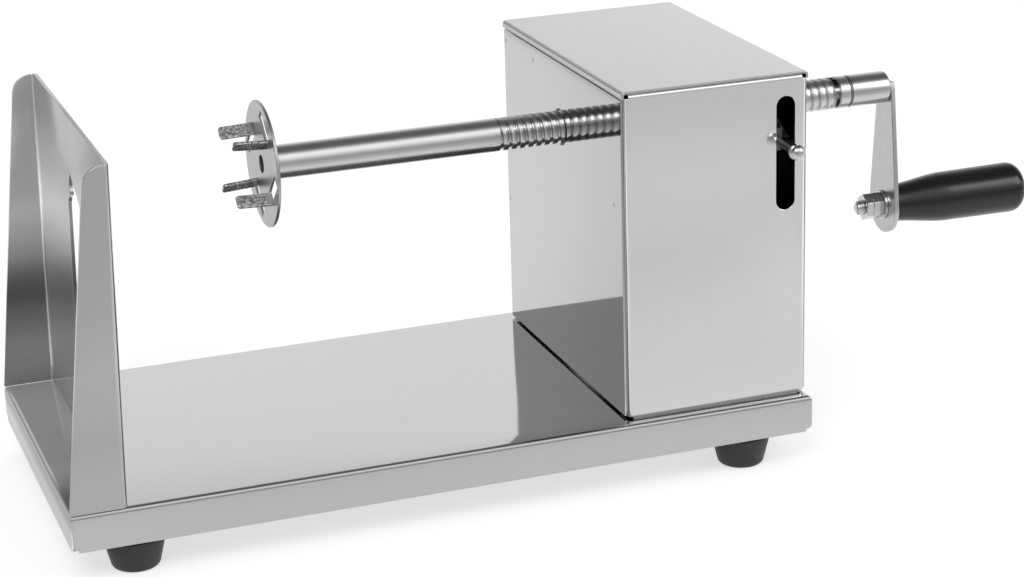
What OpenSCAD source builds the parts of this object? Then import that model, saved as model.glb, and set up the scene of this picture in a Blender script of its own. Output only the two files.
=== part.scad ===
// Hand cranked spiral potato cutter.
// Lengths in millimetres, +Z up, the crank on the +X side, the lever pin on the -Y side.
// The origin is the middle of the whole object's outline on the table plane.

/* [Base] */
// Length of the base plate, left end to right end
base_l = 300; // [280:1:340]
// Width of the base plate, front to back
base_w = 146; // [136:1:170]
// Height of the folded skirt round the base
base_h = 15; // [12:0.5:25]
// Sheet thickness of the base
base_t = 1.2; // [0.8:0.1:2]
// Outer radius of the fold between plate and skirt
base_fold_r = 2; // [2:0.1:3]
// Radius of the skirt's lower corners
skirt_corner_r = 3; // [1:0.5:5]

/* [Feet] */
// Diameter of a rubber foot at its top
foot_top_d = 24; // [20:0.5:26]
// Diameter of a rubber foot at the table
foot_bottom_d = 19; // [17:0.5:20]
// Height of the tapered part of a foot
foot_h = 13; // [9:0.5:16]
// Shadow gap between the foot's top and the skirt
foot_gap = 1; // [0.5:0.1:2]
// Radius round the foot's lower edge
foot_edge_r = 2; // [1:0.1:3]
// Diameter of the neck that reaches up inside the base
foot_neck_d = 15; // [13:0.5:18]
// Centre of the left feet from the left end
foot_left_x = 25.4; // [16:0.1:40]
// Centre of the right feet from the right end
foot_right_x = 25.4; // [16:0.1:60]
// Centre of every foot from the long edges
foot_side_y = 13.5; // [13.5:0.1:20]
// Diameter of the welded studs
stud_d = 5; // [4:0.5:6]
// Diameter of the pocket for the nut under a foot
foot_pocket_d = 11.6; // [11:0.1:13]
// Depth of that pocket
foot_pocket_h = 7; // [6.5:0.5:8]
// Thickness of a foot washer
foot_washer_t = 1; // [0.8:0.1:1.5]
// Width across flats of a foot nut
foot_nut_af = 8; // [7:0.5:9]
// Height of a foot nut
foot_nut_h = 4; // [3:0.5:4.5]

/* [Blade stand] */
// Height of the stand above the base plate
stand_h = 131; // [125:1:150]
// Width of the stand's cheeks at the base
stand_foot_w = 21.8; // [18:0.1:30]
// Width of the cheeks at the top
stand_top_w = 9.8; // [9:0.1:16]
// Sheet thickness of the stand
stand_t = 1.5; // [1:0.1:2]
// Outer radius of the stand's two folds
stand_fold_r = 2.5; // [2.2:0.1:4]
// Radius of the cheeks' top corners
stand_corner_r = 8; // [5:0.5:8.5]
// Lean of the stand towards the crank, in degrees
stand_lean = 1.4; // [0:0.1:2]

/* [Slicing window] */
// Straight back edge of the window, behind the shaft's plane
window_back = 8.5; // [8:0.5:10]
// Front edge of the window, in front of the shaft's plane
window_front = 28; // [20:1:34]
// Length of the window below the shaft's axis
window_l = 65; // [50:1:70]
// Radius of the window's upper back corner
window_corner_r = 6; // [5:0.5:6.5]
// Height of the window's pointed top above the axis
relief_h = 5.2; // [5.2:0.1:6]
// Slope of the window's upper edge down to the front, in degrees
window_slope = 27; // [20:1:30]

/* [Cutting blade] */
// Thickness of the blade
blade_t = 1.2; // [0.8:0.1:1.5]
// Length of the blade
blade_l = 58; // [45:1:60]
// Distance of the cutting edge in front of the shaft's plane
blade_edge_y = 3; // [0.5:0.1:4]
// Width of the ground bevel
blade_bevel = 4; // [2:0.5:6]
// Width of the strip that is screwed to the stand
blade_land_w = 13; // [11:0.5:16]
// Width of the sloping step between strip and edge
blade_step_w = 4; // [3:0.5:6]
// Thread diameter of the blade screws
blade_screw_d = 4; // [3:0.5:4]

/* [Shaft] */
// Height of the shaft's axis above the base plate
axis_h = 103; // [95:1:108]
// Outside diameter of the tube
tube_d = 13.5; // [12.5:0.1:14]
// Bore of the tube, open for a skewer
tube_bore_d = 7.2; // [6:0.1:8]
// Left face of the fork disc from the base's left end
disc_x = 97.5; // [90:0.5:110]
// Length of the plain stretch between disc and thread
plain_l = 96; // [80:1:110]
// Length of the threaded stretch
thread_l = 150; // [130:1:160]
// Pitch of the thread, which is also the slice's thickness
thread_pitch = 3.5; // [3:0.1:4]
// Depth of the thread's groove
thread_depth = 1; // [0.8:0.1:1.2]
// Width of the groove at the tube's surface
thread_groove_w = 1.5; // [1.2:0.1:1.8]
// Length of the plain end behind the thread
tube_tail_l = 4.9; // [3:0.1:8]

/* [Fork disc] */
// Diameter of the fork disc
disc_d = 50; // [48:1:60]
// Sheet thickness of the disc and its tines
disc_t = 1.2; // [1:0.1:2]
// Reach of a tine from the disc's face
tine_l = 13.5; // [9:0.5:14]
// Width of a tine
tine_w = 5.4; // [4:0.1:6.5]
// Distance of a tine's inner edge from the axis
tine_inner_r = 13; // [11:0.1:13.5]
// Cut corners at the tines' free ends
tine_chamfer = 0.8; // [0.3:0.1:1.5]
// Lean of the tines over their windows, in degrees
tine_lean = 4; // [0:0.5:8]

/* [Housing] */
// Length of the housing along the shaft
box_l = 78; // [74:1:90]
// Height of the housing's top above the base plate
box_h = 133; // [132:1:145]
// Setback of the housing from the base's long edges
box_inset = 5.5; // [3:0.1:8]
// Dark gap between the walls and the base plate
box_gap = 1; // [0.5:0.1:2]
// Sheet thickness of the housing
wall_t = 1; // [0.8:0.1:1.2]
// Outer radius of the housing's folds
wall_fold_r = 1.6; // [1.4:0.1:2]
// Height of the lid's folded lip
lid_lip_h = 3; // [2:0.1:4]
// Width of the open seams between the sheets
seam = 0.4; // [0.2:0.1:0.6]
// Depth of the inner flanges on the front and back sheets
flange_w = 10; // [8:1:12]
// Diameter of the shaft's holes in the side sheets
shaft_hole_d = 15; // [14.5:0.1:16]
// Outside diameter of the bearing bushes
bush_d = 20; // [18:0.5:20]
// Length of the left bush
left_bush_l = 8; // [6:0.5:12]
// Length of the right bush
right_bush_l = 3.4; // [3:0.1:3.8]

/* [Release lever] */
// Width of the lever's slot in the front sheet
slot_w = 8; // [7.5:0.1:9]
// Length of that slot
slot_l = 46; // [45:1:50]
// Slot's centre from the housing's right face
slot_x = 9.7; // [9.6:0.1:10]
// Slot's centre below the shaft's axis
slot_drop = 2; // [1:0.1:3]
// Diameter of the lever pin
pin_d = 4; // [3.5:0.1:4.2]
// Diameter of the pin's domed end
pin_head_d = 6.6; // [6:0.1:7]
// Distance of the dome's centre in front of the housing
pin_reach = 10; // [8:0.5:14]
// Height of the pin above the shaft's axis
pin_rise = 1; // [0:0.1:2]
// Length of the half nut along the shaft
nut_l = 14; // [12:0.5:14]
// Width of the half nut
nut_w = 18; // [17:0.5:20]
// Top of the half nut above the shaft's axis
nut_top = 11; // [10.5:0.1:12]
// Lower face of the half nut above the shaft's axis
nut_bottom = 1.5; // [1:0.1:2.5]
// Clearance between the half nut and the thread
nut_clearance = 0.3; // [0.25:0.05:0.35]
// Thickness of the lever
lever_t = 6; // [5.5:0.1:6.2]
// Height of the lever's bar
lever_bar_h = 7.5; // [7:0.1:8]
// Length of the lever's lower front end
lever_end_l = 20; // [16:1:22]
// Front end of the lever from the shaft's plane
lever_front_y = 58; // [54:1:59]
// Lever's pivot behind the shaft's plane
pivot_y = 48; // [46:0.5:50]
// Diameter of the pivot pin
pivot_d = 6; // [5:0.1:6.2]

/* [Crank] */
// Length of the crank hub
hub_l = 17.8; // [15:0.1:22]
// Axis of the shaft to axis of the grip
crank_r = 52; // [45:1:60]
// Thickness of the crank arm
arm_t = 2; // [1.5:0.1:3]
// Radius of the arm's round end
arm_end_r = 12; // [10:0.5:14]
// Height of the arm's upper edge above the axis
arm_top = 3; // [2:0.5:5]
// Thread diameter of the grip bolt
bolt_d = 6; // [5.5:0.1:6]
// Reach of the bolt's tip beyond the arm's left face
bolt_tip_l = 12.5; // [11:0.5:14]
// Width across flats of the grip nuts
grip_nut_af = 10; // [9.5:0.1:11]
// Thickness of the nut against the washer
grip_nut_h = 5; // [4.5:0.1:5.5]
// Thickness of the lock nut
lock_nut_h = 3.2; // [3:0.1:3.5]
// Thickness of the grip's washers
washer_t = 1.2; // [1:0.1:1.5]
// Outside diameter of the grip's washers
washer_d = 12.4; // [11.5:0.1:13]
// Length of the grip
grip_l = 62; // [58:0.5:75]
// Diameter of the grip beside the arm
grip_neck_d = 16; // [14:0.5:17]
// Greatest diameter of the grip
grip_d = 22; // [20:0.5:24]
// Radius round the grip's outer end
grip_end_r = 5.5; // [3:0.5:7]

/* [Hidden] */

// Overrun of cuts through a face
over = 0.5;
// Radial clearance of turning fits
running = 0.06;
// Radial clearance of screws in their holes
screw_clearance = 0.2;
// Axial play of the pieces that turn on a pin
play = 0.3;
// Facets of exact round shapes
round_fn = 64;
// Pieces of each rounded outline corner
corner_steps = 6;

// Heights above the table
base_bottom = foot_h + foot_gap;
base_top = base_bottom + base_h;
axis_z = base_top + axis_h;
half_w = base_w / 2;

// Stations along the shaft from the base's left end
tube_x0 = disc_x + disc_t;
thread_x0 = tube_x0 + plain_l;
thread_x1 = thread_x0 + thread_l;
tube_x1 = thread_x1 + tube_tail_l;
ring_t = 0.6;
ring_play = 0.1;
hub_x0 = tube_x1 + ring_t + 2 * ring_play;
hub_x1 = hub_x0 + hub_l;
arm_x1 = hub_x1 + arm_t;
grip_x0 = arm_x1 + washer_t + play;
grip_x1 = grip_x0 + grip_l;

// Housing
box_x0 = base_l - box_l;
box_x1 = base_l;
box_y = half_w - box_inset;
box_z0 = base_top + box_gap;
box_z1 = base_top + box_h;
sheet_x0 = box_x0 + wall_t;
sheet_x1 = box_x1 - wall_t;
lever_x = box_x1 - slot_x;

// Stand of the whole object on the origin
overall_x = grip_x1;
pin_tip_y = box_y + pin_reach + pin_head_d / 2;
shaft_y = (pin_tip_y - half_w) / 2;

module placed() {
    translate([-overall_x / 2, shaft_y, 0]) children();
}

// A child drawn in Y and Z, extruded along X from x0 to x1
module along_x(x0, x1) {
    translate([x0, 0, 0]) rotate([90, 0, 90]) linear_extrude(x1 - x0) children();
}

// A child drawn in X and Z, extruded along Y from y0 to y1
module along_y(y0, y1) {
    translate([0, y1, 0]) rotate([90, 0, 0]) linear_extrude(y1 - y0) children();
}

// A round bar along X at a height z
module rod_x(x0, x1, d, y = 0, z = axis_z) {
    translate([x0, y, z]) rotate([0, 90, 0]) cylinder(h = x1 - x0, d = d, $fn = round_fn);
}

// A hexagonal bar along X with two flats upright
module hex_x(x0, x1, af, y = 0, z = axis_z) {
    translate([x0, y, z]) rotate([0, 90, 0]) cylinder(h = x1 - x0, d = af / cos(30), $fn = 6);
}

function arc_points(centre, r, a0, a1, steps = corner_steps) = [
    for (i = [0 : steps]) centre + r * [cos(a0 + (a1 - a0) * i / steps), sin(a0 + (a1 - a0) * i / steps)]
];

// A rectangle about the Y axis from h0 to h1, with its upper corners rounded
module arched(w, h0, h1, r) {
    polygon(concat(
        [[w / 2, h0]],
        arc_points([w / 2 - r, h1 - r], r, 0, 90),
        arc_points([r - w / 2, h1 - r], r, 90, 180),
        [[-w / 2, h0]]
    ));
}

// Folded base tray

module tray_form(shrink) {
    w = base_w - 2 * shrink;
    l = base_l - 2 * shrink;
    z0 = base_bottom - (shrink > 0 ? over : 0);
    z1 = base_top - shrink;
    r = base_fold_r - shrink;
    intersection() {
        along_x(shrink, shrink + l) arched(w, z0, z1, r);
        along_y(-w / 2, w / 2) translate([base_l / 2, 0]) arched(l, z0, z1, r);
    }
}

// What a round lower corner takes away from a skirt, with the corner at the origin
module skirt_corner() {
    difference() {
        translate([-over, -over]) square(skirt_corner_r + over);
        translate([skirt_corner_r, skirt_corner_r]) circle(r = skirt_corner_r, $fn = round_fn);
    }
}

angle_w = 14;
angle_h = 16;
angle_t = 1.2;
angle_x0 = sheet_x0 + 2 * wall_t + seam;
angle_x1 = sheet_x1 - 2 * wall_t - seam;
angle_screw_d = 4;
angle_y = box_y - wall_t - angle_w / 2 - angle_t / 2;
angle_screw_share = 0.14;
angle_screws_x = [
    angle_x0 + angle_screw_share * (angle_x1 - angle_x0),
    angle_x1 - angle_screw_share * (angle_x1 - angle_x0)
];

module angle_screw_places() {
    for (x = angle_screws_x, side = [-1, 1])
        translate([x, side * angle_y, base_top]) children();
}

module base_plate() {
    color("silver") placed() difference() {
        tray_form(0);
        tray_form(base_t);
        for (end = [0, 1], side = [-1, 1]) {
            translate([end * base_l, 0, base_bottom]) mirror([end, 0, 0]) {
                along_y(side * half_w - 2 * base_t, side * half_w + 2 * base_t) skirt_corner();
                translate([0, side * half_w, 0]) mirror([0, side > 0 ? 1 : 0, 0])
                    along_x(-2 * base_t, 2 * base_t) skirt_corner();
            }
        }
        angle_screw_places()
            translate([0, 0, -base_t - over])
                cylinder(h = base_t + 2 * over, d = angle_screw_d + 2 * screw_clearance, $fn = round_fn);
    }
}

// Rubber feet on welded studs

foot_seat_z = base_top - base_t;
stud_tip_z = foot_pocket_h - foot_washer_t - foot_nut_h - over;
foot_taper = atan((foot_top_d - foot_bottom_d) / 2 / foot_h);

module foot_at(left, side) {
    x = left ? foot_left_x : base_l - foot_right_x;
    translate([x, side * (half_w - foot_side_y), 0]) children();
}

module all_feet() {
    for (left = [true, false], side = [-1, 1]) foot_at(left, side) children();
}

module foot_form() {
    bore_r = stud_d / 2 + screw_clearance;
    rotate_extrude($fn = round_fn) polygon(concat(
        [[foot_pocket_d / 2, 0]],
        arc_points([foot_bottom_d / 2 - foot_edge_r, foot_edge_r], foot_edge_r, -90, -foot_taper),
        [
            [foot_top_d / 2, foot_h],
            [foot_neck_d / 2, foot_h],
            [foot_neck_d / 2, foot_seat_z],
            [bore_r, foot_seat_z],
            [bore_r, foot_pocket_h],
            [foot_pocket_d / 2, foot_pocket_h]
        ]
    ));
}

module foot(left, side) {
    color("#202022") placed() foot_at(left, side) foot_form();
}

module foot_studs() {
    color("silver") placed() all_feet()
        translate([0, 0, stud_tip_z])
            cylinder(h = foot_seat_z - stud_tip_z, d = stud_d, $fn = round_fn);
}

module foot_washers() {
    color("silver") placed() all_feet()
        translate([0, 0, foot_pocket_h - foot_washer_t]) difference() {
            cylinder(h = foot_washer_t, d = foot_pocket_d - 2 * over, $fn = round_fn);
            translate([0, 0, -over])
                cylinder(h = foot_washer_t + 2 * over, d = stud_d + screw_clearance, $fn = round_fn);
        }
}

module foot_nuts() {
    color("silver") placed() all_feet()
        translate([0, 0, foot_pocket_h - foot_washer_t - foot_nut_h]) difference() {
            cylinder(h = foot_nut_h, d = foot_nut_af / cos(30), $fn = 6);
            translate([0, 0, -over]) cylinder(h = foot_nut_h + 2 * over, d = stud_d, $fn = round_fn);
        }
}

// Blade stand, folded from one sheet, and what is screwed to its web

module on_stand() {
    translate([0, 0, base_top]) rotate([0, stand_lean, 0]) children();
}

// Plan of the channel, open to the left
module channel_plan(shrink) {
    w = half_w - shrink;
    x1 = stand_foot_w - shrink;
    r = stand_fold_r - shrink;
    polygon(concat(
        [[-stand_foot_w, -w]],
        arc_points([x1 - r, r - w], r, -90, 0),
        arc_points([x1 - r, w - r], r, 0, 90),
        [[-stand_foot_w, w]]
    ));
}

lean_x = stand_h * tan(stand_lean);
cheek_top_x = stand_foot_w + lean_x - stand_top_w;
cheek_len = norm([cheek_top_x, stand_h]);
cheek_dir = [cheek_top_x, stand_h] / cheek_len;
cheek_normal = [cheek_dir[1], -cheek_dir[0]];
cheek_s = (stand_h - stand_corner_r - stand_corner_r * cheek_normal[1]) / cheek_dir[1];
cheek_corner = cheek_s * cheek_dir + stand_corner_r * cheek_normal;

module cheek_outline() {
    polygon(concat(
        [[0, 0], [2 * stand_foot_w, 0], [2 * stand_foot_w, stand_h]],
        arc_points(cheek_corner, stand_corner_r, 90, 180 - atan(cheek_top_x / stand_h), 2 * corner_steps)
    ));
}

// Window in the web, drawn in Y and Z, with a notch at its top for the skewer
corner_drop_share = 1.75;
corner_turn = 50;
notch_foot_turn = -60;
apex_y_share = 0.13;
skewer_play = 0.5;
skewer_hole_d = tube_bore_d + 2 * skewer_play;
web_axis_h = (axis_h + stand_foot_w * sin(stand_lean)) / cos(stand_lean);

module window_outline() {
    r = window_corner_r;
    apex_y = apex_y_share * skewer_hole_d;
    bottom = web_axis_h - window_l;
    polygon(concat(
        arc_points([window_back - r, web_axis_h - corner_drop_share * r], r, 0, corner_turn),
        arc_points([0, web_axis_h], skewer_hole_d / 2, notch_foot_turn, corner_turn, 2 * corner_steps),
        [
            [apex_y, web_axis_h + relief_h],
            [-window_front, web_axis_h + relief_h - tan(window_slope) * (window_front + apex_y)]
        ],
        arc_points([r / 2 - window_front, bottom + r / 2], r / 2, 180, 270),
        arc_points([window_back - r / 2, bottom + r / 2], r / 2, 270, 360)
    ));
}

blade_y1 = window_front + 2 * stand_t;
blade_screw_y = blade_y1 + blade_land_w / 2;
blade_top_z = web_axis_h - skewer_hole_d / 2 - play;
blade_bottom_z = blade_top_z - blade_l;
blade_screw_share = 0.2;
blade_screws_z = [
    blade_bottom_z + blade_screw_share * blade_l,
    blade_top_z - blade_screw_share * blade_l
];
blade_head_h = 2.6;
blade_head_d = 7;
blade_nut_af = 7;
blade_nut_h = 3.2;

module blade_screw_places() {
    for (z = blade_screws_z) translate([stand_foot_w, -blade_screw_y, z]) rotate([0, 90, 0]) children();
}

module blade_screw_holes() {
    blade_screw_places()
        translate([0, 0, -2 * stand_t])
            cylinder(h = 2 * stand_t + 2 * blade_t, d = blade_screw_d + 2 * screw_clearance, $fn = round_fn);
}

module blade_stand() {
    color("gainsboro") placed() difference() {
        intersection() {
            on_stand() translate([0, 0, -base_t]) linear_extrude(stand_h + 2 * base_t) difference() {
                channel_plan(0);
                channel_plan(stand_t);
            }
            along_y(-half_w - over, half_w + over) translate([0, base_top]) cheek_outline();
        }
        on_stand() {
            along_x(stand_foot_w - 2 * stand_t, stand_foot_w + stand_t) window_outline();
            blade_screw_holes();
        }
    }
}

// The sheet is stepped away from the web by one slice, and its edge is ground on the outside
module cutting_blade() {
    f = stand_foot_w;
    raise = thread_pitch;
    color("#d8dadc") placed() on_stand() difference() {
        translate([0, 0, blade_bottom_z]) linear_extrude(blade_l) polygon([
            [f, -blade_y1 - blade_land_w],
            [f + blade_t, -blade_y1 - blade_land_w],
            [f + blade_t, -blade_y1 + blade_t / 4],
            [f + raise + blade_t, -blade_y1 + blade_step_w + blade_t / 4],
            [f + raise + blade_t, -blade_edge_y - blade_bevel],
            [f + raise, -blade_edge_y],
            [f + raise, -blade_y1 + blade_step_w + blade_t],
            [f, -blade_y1 + blade_t]
        ]);
        blade_screw_holes();
    }
}

module blade_screws() {
    color("silver") placed() on_stand() blade_screw_places() {
        translate([0, 0, blade_t]) cylinder(h = blade_head_h, d = blade_head_d, $fn = round_fn);
        translate([0, 0, -stand_t - blade_nut_h - over])
            cylinder(h = stand_t + blade_nut_h + over + blade_t + over, d = blade_screw_d, $fn = round_fn);
    }
}

module blade_nuts() {
    color("silver") placed() on_stand() blade_screw_places()
        translate([0, 0, -stand_t - blade_nut_h]) difference() {
            cylinder(h = blade_nut_h, d = blade_nut_af / cos(30), $fn = 6);
            translate([0, 0, -over]) cylinder(h = blade_nut_h + 2 * over, d = blade_screw_d, $fn = round_fn);
        }
}

// Housing, five folded sheets on two angles

// Plan or elevation of a sheet with both edges folded back, as an outer line less an inner one
module folded_sheet(x0, x1, depth) {
    r = wall_fold_r;
    ri = wall_fold_r - wall_t;
    t = wall_t;
    difference() {
        polygon(concat(
            [[x0, depth]],
            arc_points([x0 + r, r], r, 180, 270),
            arc_points([x1 - r, r], r, 270, 360),
            [[x1, depth]]
        ));
        polygon(concat(
            [[x0 + t, depth + over]],
            arc_points([x0 + t + ri, t + ri], ri, 180, 270),
            arc_points([x1 - t - ri, t + ri], ri, 270, 360),
            [[x1 - t, depth + over]]
        ));
    }
}

sheet_z1 = box_z1 - wall_t;

// The front sheet, also used mirrored for the back: two side flanges and a top flange
module end_sheet() {
    translate([0, -box_y, box_z0])
        linear_extrude(sheet_z1 - box_z0 - wall_fold_r) folded_sheet(sheet_x0, sheet_x1, flange_w);
    intersection() {
        translate([sheet_x0 + wall_fold_r, 0, 0]) rotate([90, 0, 90])
            linear_extrude(sheet_x1 - sheet_x0 - 2 * wall_fold_r)
                translate([-box_y, sheet_z1]) rotate(-90)
                    folded_sheet(0, 2 * flange_w, flange_w);
        translate([box_x0, -box_y - over, sheet_z1 - wall_fold_r - over])
            cube([box_l, flange_w + 2 * over, wall_fold_r + 2 * over]);
    }
}

module housing_front() {
    color("lightgray") placed() difference() {
        end_sheet();
        hull() for (end = [-1, 1])
            translate([lever_x, wall_fold_r - box_y, axis_z - slot_drop + end * (slot_l - slot_w) / 2])
                rotate([90, 0, 0]) cylinder(h = 2 * wall_fold_r, d = slot_w, $fn = 32);
    }
}

module housing_back() {
    color("lightgray") placed() mirror([0, 1, 0]) end_sheet();
}

// A flat side sheet between the folds, with the shaft's hole
module side_sheet(x0) {
    y = box_y - wall_fold_r - seam;
    z1 = box_z1 - lid_lip_h - seam;
    difference() {
        translate([x0, -y, box_z0]) cube([wall_t, 2 * y, z1 - box_z0]);
        rod_x(x0 - over, x0 + wall_t + over, shaft_hole_d);
    }
}

module housing_left() {
    color("lightgray") placed() side_sheet(box_x0);
}

module housing_right() {
    color("lightgray") placed() side_sheet(sheet_x1);
}

module housing_lid() {
    y = box_y - seam;
    color("gainsboro") placed() along_y(-y, y)
        translate([0, box_z1]) mirror([0, 1]) folded_sheet(box_x0, box_x1, lid_lip_h);
}

module housing_angles() {
    y1 = box_y - wall_t;
    color("darkgray") placed() difference() {
        for (side = [-1, 1]) {
            translate([angle_x0, side > 0 ? y1 - angle_w : -y1, base_top])
                cube([angle_x1 - angle_x0, angle_w, angle_t]);
            translate([angle_x0, side > 0 ? y1 - angle_t : -y1, base_top])
                cube([angle_x1 - angle_x0, angle_t, angle_h]);
        }
        angle_screw_places()
            translate([0, 0, -over])
                cylinder(h = angle_t + 2 * over, d = angle_screw_d + 2 * screw_clearance, $fn = round_fn);
    }
}

angle_head_h = 2.6;
angle_head_d = 7;
angle_nut_af = 7;
angle_nut_h = 3.2;

module angle_screws() {
    color("silver") placed() angle_screw_places() {
        translate([0, 0, -base_t - angle_head_h])
            cylinder(h = angle_head_h, d = angle_head_d, $fn = round_fn);
        translate([0, 0, -base_t - over])
            cylinder(h = base_t + angle_t + angle_nut_h + 2 * over, d = angle_screw_d, $fn = round_fn);
    }
}

module angle_nuts() {
    color("silver") placed() angle_screw_places()
        translate([0, 0, angle_t]) difference() {
            cylinder(h = angle_nut_h, d = angle_nut_af / cos(30), $fn = 6);
            translate([0, 0, -over]) cylinder(h = angle_nut_h + 2 * over, d = angle_screw_d, $fn = round_fn);
        }
}

module bush(x0, x1) {
    color("#c8a860") placed() difference() {
        rod_x(x0, x1, bush_d);
        rod_x(x0 - over, x1 + over, tube_d + 2 * running);
    }
}

module left_bush() {
    bush(sheet_x0, sheet_x0 + left_bush_l);
}

module right_bush() {
    bush(sheet_x1 - right_bush_l, sheet_x1);
}

// Release lever, its pivot, and the half nut that it holds on the thread

bracket_t = 2;
bracket_w = 14;
bracket_h = 24;
pivot_z = nut_top + lever_bar_h / 2;
eye_r = lever_bar_h / 2 + bracket_t;
cheek_in = lever_t / 2 + play;
cheek_out = cheek_in + bracket_t;
pivot_head_t = 1.4;
clip_t = 0.8;

module lever_bracket() {
    wall_y = box_y - wall_t;
    cheek_y = wall_y - bracket_t / 2;
    color("darkgray") placed() translate([lever_x, 0, axis_z + pivot_z]) difference() {
        union() {
            translate([-bracket_w / 2, wall_y - bracket_t, -bracket_h / 2])
                cube([bracket_w, bracket_t, bracket_h]);
            for (side = [-1, 1])
                along_x(side > 0 ? cheek_in : -cheek_out, side > 0 ? cheek_out : -cheek_in) polygon(concat(
                    [[cheek_y, eye_r]],
                    arc_points([pivot_y, 0], eye_r, 90, 270, 2 * corner_steps),
                    [[cheek_y, -eye_r]]
                ));
        }
        rod_x(-cheek_out - over, cheek_out + over, pivot_d, pivot_y, 0);
    }
}

module lever_pivot() {
    color("silver") placed() translate([lever_x, pivot_y, axis_z + pivot_z]) difference() {
        union() {
            rod_x(-cheek_out - 2 * clip_t, cheek_out, pivot_d, 0, 0);
            rod_x(cheek_out, cheek_out + pivot_head_t, pivot_d + 2 * pivot_head_t, 0, 0);
        }
        difference() {
            rod_x(-cheek_out - clip_t, -cheek_out, pivot_d + over, 0, 0);
            rod_x(-cheek_out - 2 * clip_t, -cheek_out + over, pivot_d - clip_t, 0, 0);
        }
    }
}

module pivot_clip() {
    color("silver") placed() translate([lever_x, pivot_y, axis_z + pivot_z]) difference() {
        rod_x(-cheek_out - clip_t, -cheek_out, pivot_d + 2 * pivot_head_t, 0, 0);
        rod_x(-cheek_out - clip_t - over, -cheek_out + over, pivot_d - clip_t, 0, 0);
        translate([-cheek_out - clip_t - over, -clip_t, 0]) cube([clip_t + 2 * over, 2 * clip_t, pivot_d]);
    }
}

lever_knee_y = nut_w / 2 + lever_t / 2;
lever_end_h = 9;
lever_slope_y = lever_front_y - lever_end_l;
pin_grip_l = 12;
nut_screw_d = 3;
nut_screw_head_d = 5.5;
nut_screw_head_h = 2;
nut_x1 = sheet_x1 - right_bush_l - play;
nut_x0 = nut_x1 - nut_l;
nut_screw_y = nut_w / 4;

module nut_screw_places() {
    for (side = [-1, 1]) translate([lever_x, side * nut_screw_y, axis_z]) children();
}

module release_lever() {
    color("#b8bcc0") placed() difference() {
        translate([0, 0, axis_z]) along_x(lever_x - lever_t / 2, lever_x + lever_t / 2) polygon(concat(
            [[pivot_y, nut_top]],
            arc_points([pivot_y, pivot_z], lever_bar_h / 2, -90, 90, 2 * corner_steps),
            [
                [-lever_knee_y, nut_top + lever_bar_h],
                [-lever_slope_y, pin_rise + lever_end_h / 2],
                [-lever_front_y, pin_rise + lever_end_h / 2],
                [-lever_front_y, pin_rise - lever_end_h / 2],
                [-lever_slope_y, pin_rise - lever_end_h / 2],
                [-lever_knee_y, nut_top]
            ]
        ));
        rod_x(lever_x - lever_t, lever_x + lever_t, pivot_d + 2 * running, pivot_y, axis_z + pivot_z);
        translate([lever_x, pin_grip_l - lever_front_y, axis_z + pin_rise])
            rotate([90, 0, 0]) cylinder(h = pin_grip_l + over, d = pin_d, $fn = round_fn);
        nut_screw_places()
            translate([0, 0, nut_top - over])
                cylinder(h = lever_bar_h + 2 * over, d = nut_screw_d + screw_clearance, $fn = round_fn);
    }
}

module nut_screws() {
    color("silver") placed() nut_screw_places() {
        translate([0, 0, nut_top + lever_bar_h])
            cylinder(h = nut_screw_head_h, d = nut_screw_head_d, $fn = round_fn);
        translate([0, 0, nut_top - nut_screw_head_h])
            cylinder(h = nut_screw_head_h + lever_bar_h + over, d = nut_screw_d, $fn = round_fn);
    }
}

module release_pin() {
    y1 = lever_front_y - pin_grip_l;
    y2 = box_y + pin_reach;
    color("silver") placed() translate([lever_x, 0, axis_z + pin_rise]) {
        translate([0, -y1, 0]) rotate([90, 0, 0]) cylinder(h = y2 - y1, d = pin_d, $fn = round_fn);
        translate([0, -y2, 0]) sphere(d = pin_head_d, $fn = round_fn);
    }
}

// Thread

thread_segments = 20;
spigot_l = 15;
spigot_gap = 1;
spigot_d = tube_bore_d + 2 * ring_play * 4;
land_gap = 0.03;

function thread_point(r, x, angle) = [x, r * cos(angle), r * sin(angle)];

// A bar along X with one right-handed groove, from x0 for a number of whole turns
module thread_form(x0, turns, land_r, root_r, groove_w) {
    n = thread_segments;
    steps = turns * n;
    land_w = thread_pitch - groove_w;
    rise = thread_pitch / n;
    turn = 360 / n;
    starts = [for (i = [0 : steps + n]) thread_point(land_r, x0 + i * rise, i * turn)];
    ends = [for (i = [0 : steps]) thread_point(land_r, x0 + i * rise + land_w, i * turn)];
    roots = [for (i = [0 : steps]) thread_point(root_r, x0 + i * rise + land_w + groove_w / 2, i * turn)];
    e0 = len(starts);
    r0 = e0 + len(ends);
    c0 = r0 + len(roots);
    c1 = c0 + 1;
    points = concat(starts, ends, roots, [[x0, 0, 0], [x0 + (turns + 1) * thread_pitch, 0, 0]]);
    faces = concat(
        [for (i = [0 : steps - 1]) each [
            [i, i + 1, e0 + i + 1], [i, e0 + i + 1, e0 + i],
            [e0 + i, e0 + i + 1, r0 + i + 1], [e0 + i, r0 + i + 1, r0 + i],
            [r0 + i, r0 + i + 1, i + 1 + n], [r0 + i, i + 1 + n, i + n]
        ]],
        [for (i = [0 : n - 1]) [c0, i + 1, i]],
        [[c0, r0, n], [c0, e0, r0], [c0, 0, e0]],
        [for (i = [0 : n - 1]) [c1, steps + i, steps + i + 1]],
        [[c1, e0 + steps, steps], [c1, r0 + steps, e0 + steps], [c1, steps + n, r0 + steps]]
    );
    polyhedron(points = points, faces = [for (f = faces) [f[2], f[1], f[0]]]);
}

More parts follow.
